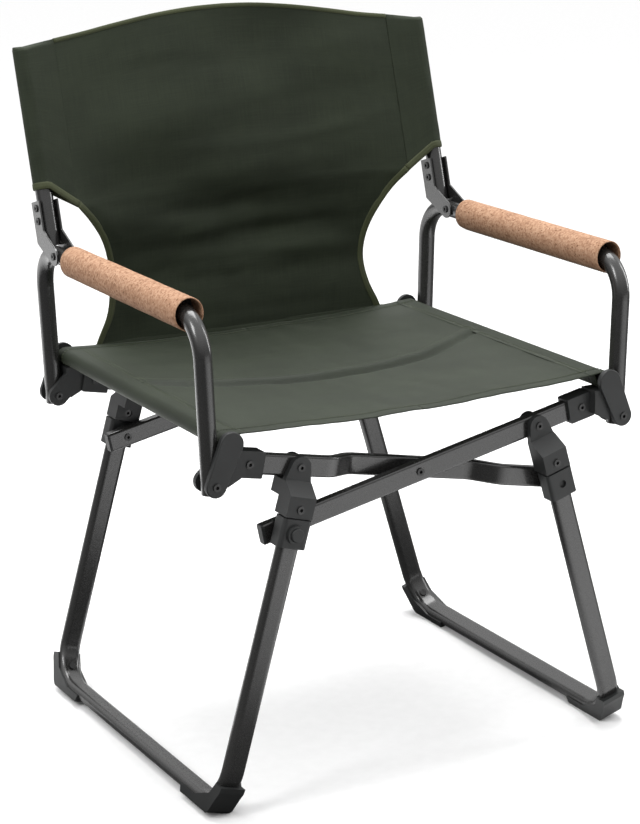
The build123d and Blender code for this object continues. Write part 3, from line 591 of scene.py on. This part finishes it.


# ---------------------------------------------------------------- the body each soft piece rides on
ZONES = {
    "seat_left": ("left_scissor", (-RAIL_X, 0, RAIL_Z), SEAT_KEEP),
    "seat_right": ("right_scissor", (RAIL_X, 0, RAIL_Z), SEAT_KEEP),
    "back": ("left_back", (-SEAM_X, 0, SPLIT_Z), BACK_KEEP),
    "lower": ("lower_back", (-SEAM_X, 0, SPLIT_Z), BACK_KEEP),
    "pocket_left": ("left_back", None, None),
    "pocket_right": ("right_back", None, None),
}


def follow(piece, zone):
    """Ties a soft piece to its body, first giving it a mesh of its own where its zone has an anchor."""
    body, anchor, keep = ZONES[zone]
    if anchor is not None:
        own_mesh(piece)
    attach(piece, body)
    return piece


# ---------------------------------------------------------------- seat
def seat_profile():
    """The seat's line across the chair: up round one rail, over, and round the other, as (x, z, free)."""
    top = RAIL_Z + RAIL_WRAP
    wrap = []
    for step in range(WRAP_STEPS + 1):
        angle = math.radians(90 - 180 * step / WRAP_STEPS)
        wrap.append((RAIL_X + RAIL_WRAP * math.cos(angle), RAIL_Z + RAIL_WRAP * math.sin(angle), False))
    flap = [(x, z, False) for x, z in FLAP]
    flap += [(SLEEVE_SEAM_X + past, top - FLAP_DROP, False) for past in (0.001, -0.006)]
    middle = [(x, top, abs(x) < RAIL_X - 0.004) for x in np.linspace(-RAIL_X, RAIL_X, SEAT_COLUMNS)]
    right = wrap[1:] + flap
    left = [(-x, z, free) for x, z, free in reversed(right)]
    return left + middle + right


def seat_grid():
    """The seat cloth as a grid, sagged between the rails, with the points that may move."""
    profile = seat_profile()
    across = np.array([p[0] for p in profile])
    height = np.array([p[1] for p in profile])
    free = np.array([p[2] for p in profile])
    t = np.linspace(0, 1, SEAT_ROWS)[:, None]
    span = 1 - (across[None, :] / RAIL_X) ** 2
    span = np.clip(span, 0, 1)
    front = SEAT_FRONT + SEAT_CURVE * span
    y = front + (SEAT_REAR - front) * t
    x = np.broadcast_to(across, y.shape)
    middle = 4 * t * (1 - t)
    z = height - free * SEAT_SAG * span * (0.45 + 0.55 * middle)
    z = z + free * span * waves(x, y, SEAT_FLAWS)
    grid = np.stack([x, y - DEPTH_CENTRE, z], axis=-1)
    pinned = np.broadcast_to(~free, y.shape)
    return grid, pinned, free


def halve_rows(grid):
    """The same sheet with a new row of points midway between each two."""
    fine = np.empty((2 * len(grid) - 1, *grid.shape[1:]))
    fine[::2] = grid
    fine[1::2] = (grid[:-1] + grid[1:]) / 2
    return fine


def fold_crease(grid, free):
    """The shallow valley and ridge left across the seat by folding, bowed towards the front."""
    x, y = grid[..., 0], grid[..., 1] + DEPTH_CENTRE
    line = CREASE_Y + CREASE_BOW * x**2 + 0.004 * np.sin(x * 38)
    near = (y - line) / CREASE_WIDTH
    fade = np.clip(1 - np.abs(x) / (RAIL_X - 0.012), 0, 1) ** 0.35
    valley = CREASE_DEPTH * np.exp(-near**2)
    ridge = RIDGE_HEIGHT * np.exp(-((near - RIDGE_PLACE) / RIDGE_WIDTH) ** 2)
    out = grid.copy()
    out[..., 2] += free * fade * (ridge - valley + waves(x, y, SEAT_SWELL) + waves(x, y, SEAT_RIPPLES))
    return out


def build_seat():
    """The seat cloth in two halves that meet in the middle, each with its hems and seams."""
    grid, pinned, free = seat_grid()
    grid = fold_crease(halve_rows(settle("seat_settling", grid, pinned, 1.0)), free)
    normals, weave = grid_normals(grid), weave_of(grid)
    columns = grid.shape[1]
    middle = columns // 2
    halves = {"seat_left": slice(0, middle + 1), "seat_right": slice(middle, columns)}
    for zone, part in halves.items():
        side = zone.split("_")[1]
        own, own_normals = grid[:, part], normals[:, part]
        cloth = cloth_piece(f"seat_cloth_{side}", own, own_normals, weave[:, part], "seat_cloth")
        follow(cloth, zone)
        trims = []
        for edge, row, towards in (("front", 0, 1), ("rear", -1, -1)):
            path = own[row]
            inward = own[row + towards] - path
            hem = f"seat_{edge}_hem_{side}"
            trims.append(strip(hem, path, inward, SEAT_HEM_WIDTH, SEAT_HEM_THICKNESS, "seat_cloth"))
            inset = own[row + HEM_ROWS * towards]
            lift = CLOTH_THICKNESS / 2 + 0.0007
            trims.append(stitches(f"seat_{edge}_stitches_{side}", inset, own_normals[row], lift))
        seam = np.argmin(np.abs(np.abs(own[0, :, 0]) - SLEEVE_SEAM_X) + (own_normals[0, :, 2] < 0.5))
        for offset, label in ((0, "outer"), (-1 if side == "right" else 1, "inner")):
            line = own[:, seam + offset]
            facing = own_normals[:, seam]
            trims.append(stitches(f"seat_{label}_seam_{side}", line, facing, CLOTH_THICKNESS / 2))
        for trim in trims:
            follow(trim, zone)
        if side == "left":
            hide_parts("seat_fabric")


# ---------------------------------------------------------------- back
def post_plane_y(z):
    """Depth of the plane through both post axes."""
    return POST_FOOT_Y + (z - POST_FOOT_Z) * math.tan(BACK_TILT)


def back_grid():
    """The back cloth between its two pocket seams and waist edges, from the seat's rear up to the crown."""
    columns, low_rows, high_rows = 81, 40, 48
    waist_x = [(z, x) for z, x, _ in WAIST]
    waist_y = [(z, y) for z, _, y in WAIST]
    u = np.linspace(-1, 1, columns)
    rows = []
    for z in np.linspace(HEM_Z, SPLIT_Z, low_rows):
        half = curve_through(waist_x, z)
        depth = curve_through(waist_y, z)
        sag = BACK_SAG * smooth(HEM_Z, 0.50, z) + LUMBAR_DEPTH * smooth(0.50, SPLIT_Z, z)
        y = depth + sag * (1 - u**2)
        rows.append(np.stack([u * half, y, np.full(columns, z)], axis=1))
    x = u * SEAM_X
    crown = curve_through(CROWN, np.abs(x))
    for t in np.linspace(0, 1, high_rows)[1:]:
        z = SPLIT_Z + (crown - SPLIT_Z) * t
        sag = BACK_SAG * (1 - 0.55 * t) + LUMBAR_DEPTH * (1 - smooth(0, 0.75, t))
        y = post_plane_y(z) + sag * (1 - u**2)
        rows.append(np.stack([x, y, z], axis=1))
    grid = np.stack(rows)
    depth = grid[..., 1].copy()
    for _ in range(40):
        depth[1:-1] = (depth[:-2] + 2 * depth[1:-1] + depth[2:]) / 4
    free = np.clip(1.25 * (1 - np.abs(u)), 0, 1) ** 0.5
    grid[..., 1] += free * (depth - grid[..., 1])
    grid[..., 1] += waves(grid[..., 0], grid[..., 2], BACK_FLAWS) * (1 - u**2)
    grid[..., 1] -= DEPTH_CENTRE
    pinned = np.zeros(grid.shape[:2], bool)
    pinned[:, 0] = pinned[:, -1] = True
    pinned[0] = pinned[-1] = True
    return grid, pinned, low_rows


def back_creases(grid):
    """Soft folds: sideways waves from the waist's pull, and one shallow line across the lumbar."""
    x, z = grid[..., 0], grid[..., 2]
    u = np.linspace(-1, 1, grid.shape[1])[None, :]
    inside = (1 - u**2) ** 0.6
    pull = np.exp(-((z - PULL_Z) / PULL_REACH) ** 2)
    slant = z - FOLD_SLANT * x
    folds = waves(x, slant, WAIST_FOLDS) * pull
    folds += waves(x, slant, BROAD_FOLDS)
    folds += waves(x, slant, FINE_FOLDS) * (0.25 + pull)
    line = LUMBAR_LINE_Z + 0.03 * (x / SEAM_X) ** 2
    band = 0.0016 * np.exp(-((z - line) / 0.009) ** 2) * smooth(-0.15, 0.05, x)
    out = grid.copy()
    out[..., 1] += inside * (folds - band)
    return out


def pocket_section():
    """A post pocket's line: from its seam forwards, round the post and back, as (across, depth)."""
    reach = ARM_TOP_X - SEAM_X
    lean = math.asin(POST_WRAP / reach)
    start = math.pi / 2 + lean
    angles = np.linspace(start, -start, 33)
    ring = [(reach + POST_WRAP * math.cos(a), -POST_WRAP * math.sin(a)) for a in angles]
    return [(0.0, -0.0006), (reach * 0.25, -0.0031)] + ring + [(reach * 0.25, 0.0031), (0.0, 0.0006)]


def build_pocket(side):
    """The sleeve that one back post stands in, hemmed at its slanted mouth and closed over the post's top."""
    sign = 1 if side == "right" else -1
    section = pocket_section()
    seam_top = curve_through(CROWN, SEAM_X)
    rows = []
    for t in np.linspace(0, 1, 56):
        row = []
        for across, depth in section:
            share = across / (ARM_TOP_X - SEAM_X)
            low = SPLIT_Z + (POCKET_BOTTOM_Z - SPLIT_Z) * min(1.0, share * 1.1)
            high = seam_top + (POCKET_TOP_Z - seam_top) * min(1.0, share)
            z = low + (high - low) * t
            x = SEAM_X + across
            close = 1 - 0.82 * float(smooth(0.982, 1.0, t))
            z_cloth = z - depth * close * math.sin(BACK_TILT)
            wrinkle = 0.0007 * wavy(across * 2, z, 0.02, 2.0 + sign)
            y = post_plane_y(z) + depth * close + wrinkle * (depth < 0)
            row.append(at(sign * x, y, z_cloth))
        rows.append(row)
    grid = np.array(rows)
    if side == "left":
        grid = grid[:, ::-1]
    zone = f"pocket_{side}"
    cloth = cloth_piece(f"back_pocket_{side}", grid, grid_normals(grid), weave_of(grid), "back_cloth")
    follow(cloth, zone)
    inward = grid[1] - grid[0]
    mouth = strip(f"pocket_mouth_hem_{side}", grid[0], inward, BINDING_WIDTH, BINDING_THICKNESS, "binding")
    follow(mouth, zone)


def build_back():
    """The back cloth between the pockets, split level with their mouths so that it can fold there."""
    grid, pinned, split = back_grid()
    grid = back_creases(settle("back_settling", grid, pinned, 0.6))
    normals, weave = grid_normals(grid), weave_of(grid)
    high, low = slice(split - 1, None), slice(0, split)
    upper, lower = grid[high], grid[low]
    upper_normals, lower_normals = normals[high], normals[low]
    upper_cloth = cloth_piece("back_cloth_upper", upper, upper_normals, weave[high], "back_cloth")
    lower_cloth = cloth_piece("back_cloth_lower", lower, lower_normals, weave[low], "back_cloth")
    follow(upper_cloth, "back")
    follow(lower_cloth, "lower")
    upper_trims, lower_trims = [], []
    lift = CLOTH_THICKNESS / 2 + 0.0008
    inward = upper[-2] - upper[-1]
    top = strip("back_top_binding", upper[-1], inward, TOP_BINDING_WIDTH, BINDING_THICKNESS, "binding")
    upper_trims.append(top)
    upper_trims.append(stitches("back_top_stitches", upper[-3], -normals[-3], lift))
    for side, column, towards in (("left", 0, 1), ("right", -1, -1)):
        for offset in (1, 2):
            line = upper[:, column + offset * towards]
            facing = -upper_normals[:, column + offset * towards]
            upper_trims.append(stitches(f"pocket_seam_{offset}_{side}", line, facing, CLOTH_THICKNESS / 2))
        edge = lower[:, column]
        inward = lower[:, column + towards] - edge
        waist = f"waist_binding_{side}"
        lower_trims.append(strip(waist, edge, inward, BINDING_WIDTH, BINDING_THICKNESS, "binding"))
        line = lower[:, column + 2 * towards]
        facing = -lower_normals[:, column + 2 * towards]
        lower_trims.append(stitches(f"waist_stitches_{side}", line, facing, lift))
    inward = lower[1] - lower[0]
    hem = strip("back_foot_hem", lower[0], inward, FOOT_HEM_WIDTH, BINDING_THICKNESS, "back_cloth")
    lower_trims.append(hem)
    for trim in upper_trims:
        follow(trim, "back")
    for trim in lower_trims:
        follow(trim, "lower")
    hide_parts("back_fabric")
    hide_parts("back_fabric_lower")


# ---------------------------------------------------------------- cork sleeves
CORK_FRONT, CORK_REAR = -0.184, 0.118
CORK_WIDTH, CORK_HEIGHT = 0.034, 0.0365
CORK_WALL = 0.0015
CORK_SIDES = 64
CORK_RIDGE = 0.0015         # how far the sewn ridge stands down
CORK_EDGE = 0.0007          # rounding of the sleeve's ends
CORK_SEAM_INSET = 0.003     # sleeve's end to the seam's first stitch


def cork_outline(inset, point):
    """A sleeve's oval, drawn down to a sewn ridge along its underside, as (across, up)."""
    outline = []
    for k in range(CORK_SIDES):
        angle = 2 * math.pi * k / CORK_SIDES
        across = (CORK_WIDTH / 2 - inset) * math.sin(angle)
        up = (CORK_HEIGHT / 2 - inset) * math.cos(angle)
        ridge = math.exp(-((angle - math.pi) / 0.28) ** 2)
        outline.append((across * (1 - 0.35 * ridge), up - point * ridge))
    return outline


def build_cork(side):
    """The sheet of cork wrapped round an armrest, with its seam and softened ends."""
    sign = 1 if side == "right" else -1
    vertices, faces = [], []
    stations = [(CORK_FRONT, CORK_EDGE), (CORK_FRONT + CORK_EDGE, 0.0)]
    stations += [(y, 0.0) for y in np.linspace(CORK_FRONT + 0.006, CORK_REAR - 0.006, 44)]
    stations += [(CORK_REAR - CORK_EDGE, 0.0), (CORK_REAR, CORK_EDGE)]
    ring = CORK_SIDES
    for skin in (0, 1):
        for y, rounding in stations:
            inset = CORK_WALL - rounding if skin else rounding
            for k, (across, up) in enumerate(cork_outline(inset, CORK_RIDGE)):
                wear = 0.00035 * wavy(k * 0.05, y, 0.03, 4.0 + sign)
                vertices.append(at(sign * (ARM_TOP_X + across), y, ARM_TOP_Z - 0.0003 + up + wear))
    count = len(stations)
    for skin in (0, 1):
        for s in range(count - 1):
            for k in range(ring):
                a = (skin * count + s) * ring + k
                b = (skin * count + s) * ring + (k + 1) % ring
                quad = (a, b, b + ring, a + ring)
                faces.append(quad if skin == 0 else quad[::-1])
    for s in (0, count - 1):
        for k in range(ring):
            n = (k + 1) % ring
            outer, inner = s * ring, (count + s) * ring
            quad = (outer + k, inner + k, inner + n, outer + n)
            faces.append(quad if s == 0 else quad[::-1])
    sleeve = add_mesh(f"cork_sleeve_{side}", vertices, faces, "cork")
    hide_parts(f"{side}_armrest_cork")
    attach(sleeve, f"{side}_arm")
    underside = ARM_TOP_Z - CORK_HEIGHT / 2
    stations = np.linspace(CORK_FRONT + CORK_SEAM_INSET, CORK_REAR - CORK_SEAM_INSET, 80)
    line = np.array([at(sign * (ARM_TOP_X - 0.0035), y, underside) for y in stations])
    down = np.tile(np.array([-sign * 0.35, 0, -1.0]), (len(line), 1))
    seam = stitches(f"cork_seam_{side}", line, down, 0.0006)
    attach(seam, f"{side}_arm")


# ---------------------------------------------------------------- CAD nodes
EDGE_ROUND = {"leg_bracket": 0.0012, "foot": 0.0012, "collar": 0.0010, "hub": 0.0010, "back_bracket": 0.0004}


def dress_frame():
    """Paints every CAD node that stays visible, and rounds the moulded pieces' edges."""
    slots = {s["node"]: s["material_slot"] for s in frame["record"]["subparts"]}
    for name, node in frame["nodes"].items():
        node.data.materials.clear()
        node.data.materials.append(MATERIALS[slots[name]])
        for kind, radius in EDGE_ROUND.items():
            if name.endswith(kind) and "rivets" not in name:
                bevel = node.modifiers.new("edge", "BEVEL")
                bevel.width = radius
                bevel.segments = 2
                bevel.limit_method = "ANGLE"
                bevel.angle_limit = math.radians(40)
                bevel.harden_normals = True


# ---------------------------------------------------------------- studio
CAMERA_PLACE = (-1.28485, -2.31351 - DEPTH_CENTRE, 1.12165)
CAMERA_FORWARD = (0.46372, 0.84265, -0.27368)
CAMERA_ROLL = math.radians(-0.74)
CAMERA_LENS = 131.55
WALL_LIGHT, CEILING_LIGHT = 0.20, 1.36
FLOOR_REACH = 60.0


def build_camera():
    """The camera, from the chair's front left and above, looking slightly down."""
    data = bpy.data.cameras.new("camera")
    data.lens = CAMERA_LENS
    data.sensor_width = 36
    data.sensor_fit = "HORIZONTAL"
    data.clip_end = 50
    camera = bpy.data.objects.new("camera", data)
    bpy.context.scene.collection.objects.link(camera)
    forward = Vector(CAMERA_FORWARD).normalized()
    level = forward.cross(Vector((0, 0, 1))).normalized()
    above = level.cross(forward)
    right = level * math.cos(CAMERA_ROLL) + above * math.sin(CAMERA_ROLL)
    up = above * math.cos(CAMERA_ROLL) - level * math.sin(CAMERA_ROLL)
    turn = Matrix((right, up, -forward)).transposed().to_4x4()
    camera.matrix_world = Matrix.Translation(CAMERA_PLACE) @ turn
    bpy.context.scene.camera = camera


def softbox(name, place, aim, width, height, power):
    """A rectangular light, turned towards aim."""
    data = bpy.data.lights.new(name, "AREA")
    data.shape = "RECTANGLE"
    data.size = width
    data.size_y = height
    data.energy = power
    light = bpy.data.objects.new(name, data)
    bpy.context.scene.collection.objects.link(light)
    light.location = place
    light.rotation_euler = (Vector(aim) - Vector(place)).to_track_quat("-Z", "Y").to_euler()


def studio_sky():
    """A ceiling of diffused light over dim walls; the camera sees plain white."""
    world = bpy.data.worlds.new("studio")
    world.use_nodes = True
    tree = world.node_tree
    texture = tree.nodes.new("ShaderNodeTexCoord")
    split = tree.nodes.new("ShaderNodeSeparateXYZ")
    tree.links.new(texture.outputs["Generated"], split.inputs["Vector"])
    height = tree.nodes.new("ShaderNodeMapRange")
    height.inputs["From Min"].default_value = 0.0
    height.inputs["From Max"].default_value = 0.8
    height.inputs["To Min"].default_value = WALL_LIGHT
    height.inputs["To Max"].default_value = CEILING_LIGHT
    tree.links.new(split.outputs["Z"], height.inputs["Value"])
    ray = tree.nodes.new("ShaderNodeLightPath")
    choose = tree.nodes.new("ShaderNodeMix")
    choose.data_type = "FLOAT"
    tree.links.new(ray.outputs["Is Camera Ray"], choose.inputs["Factor"])
    tree.links.new(height.outputs["Result"], choose.inputs["A"])
    choose.inputs["B"].default_value = 1.0
    background = tree.nodes["Background"]
    background.inputs["Color"].default_value = (1, 1, 1, 1)
    tree.links.new(choose.outputs["Result"], background.inputs["Strength"])
    return world


def build_studio():
    """The floor, three softboxes and the sky."""
    reach = FLOOR_REACH
    corners = [(-reach, -reach, 0), (reach, -reach, 0), (reach, reach, 0), (-reach, reach, 0)]
    mesh = bpy.data.meshes.new("studio_floor")
    mesh.from_pydata(corners, [], [(0, 1, 2, 3)])
    mesh.materials.append(pale_floor())
    floor = bpy.data.objects.new("studio_floor", mesh)
    bpy.context.scene.collection.objects.link(floor)
    seat = (0, 0, 0.45)
    softbox("overhead", (0.2, 0.6, 2.5), seat, 1.8, 1.4, 52)
    softbox("key", (-2.3, -0.6, 2.3), seat, 0.8, 1.2, 34)
    softbox("edge", (2.4, -0.4, 1.3), seat, 0.5, 1.8, 20)
    world = studio_sky()
    scene = bpy.context.scene
    scene.world = world
    scene.view_settings.view_transform = "Standard"


dress_frame()
build_seat()
build_back()
for hand in ("left", "right"):
    build_pocket(hand)
    build_cork(hand)
build_camera()
build_studio()
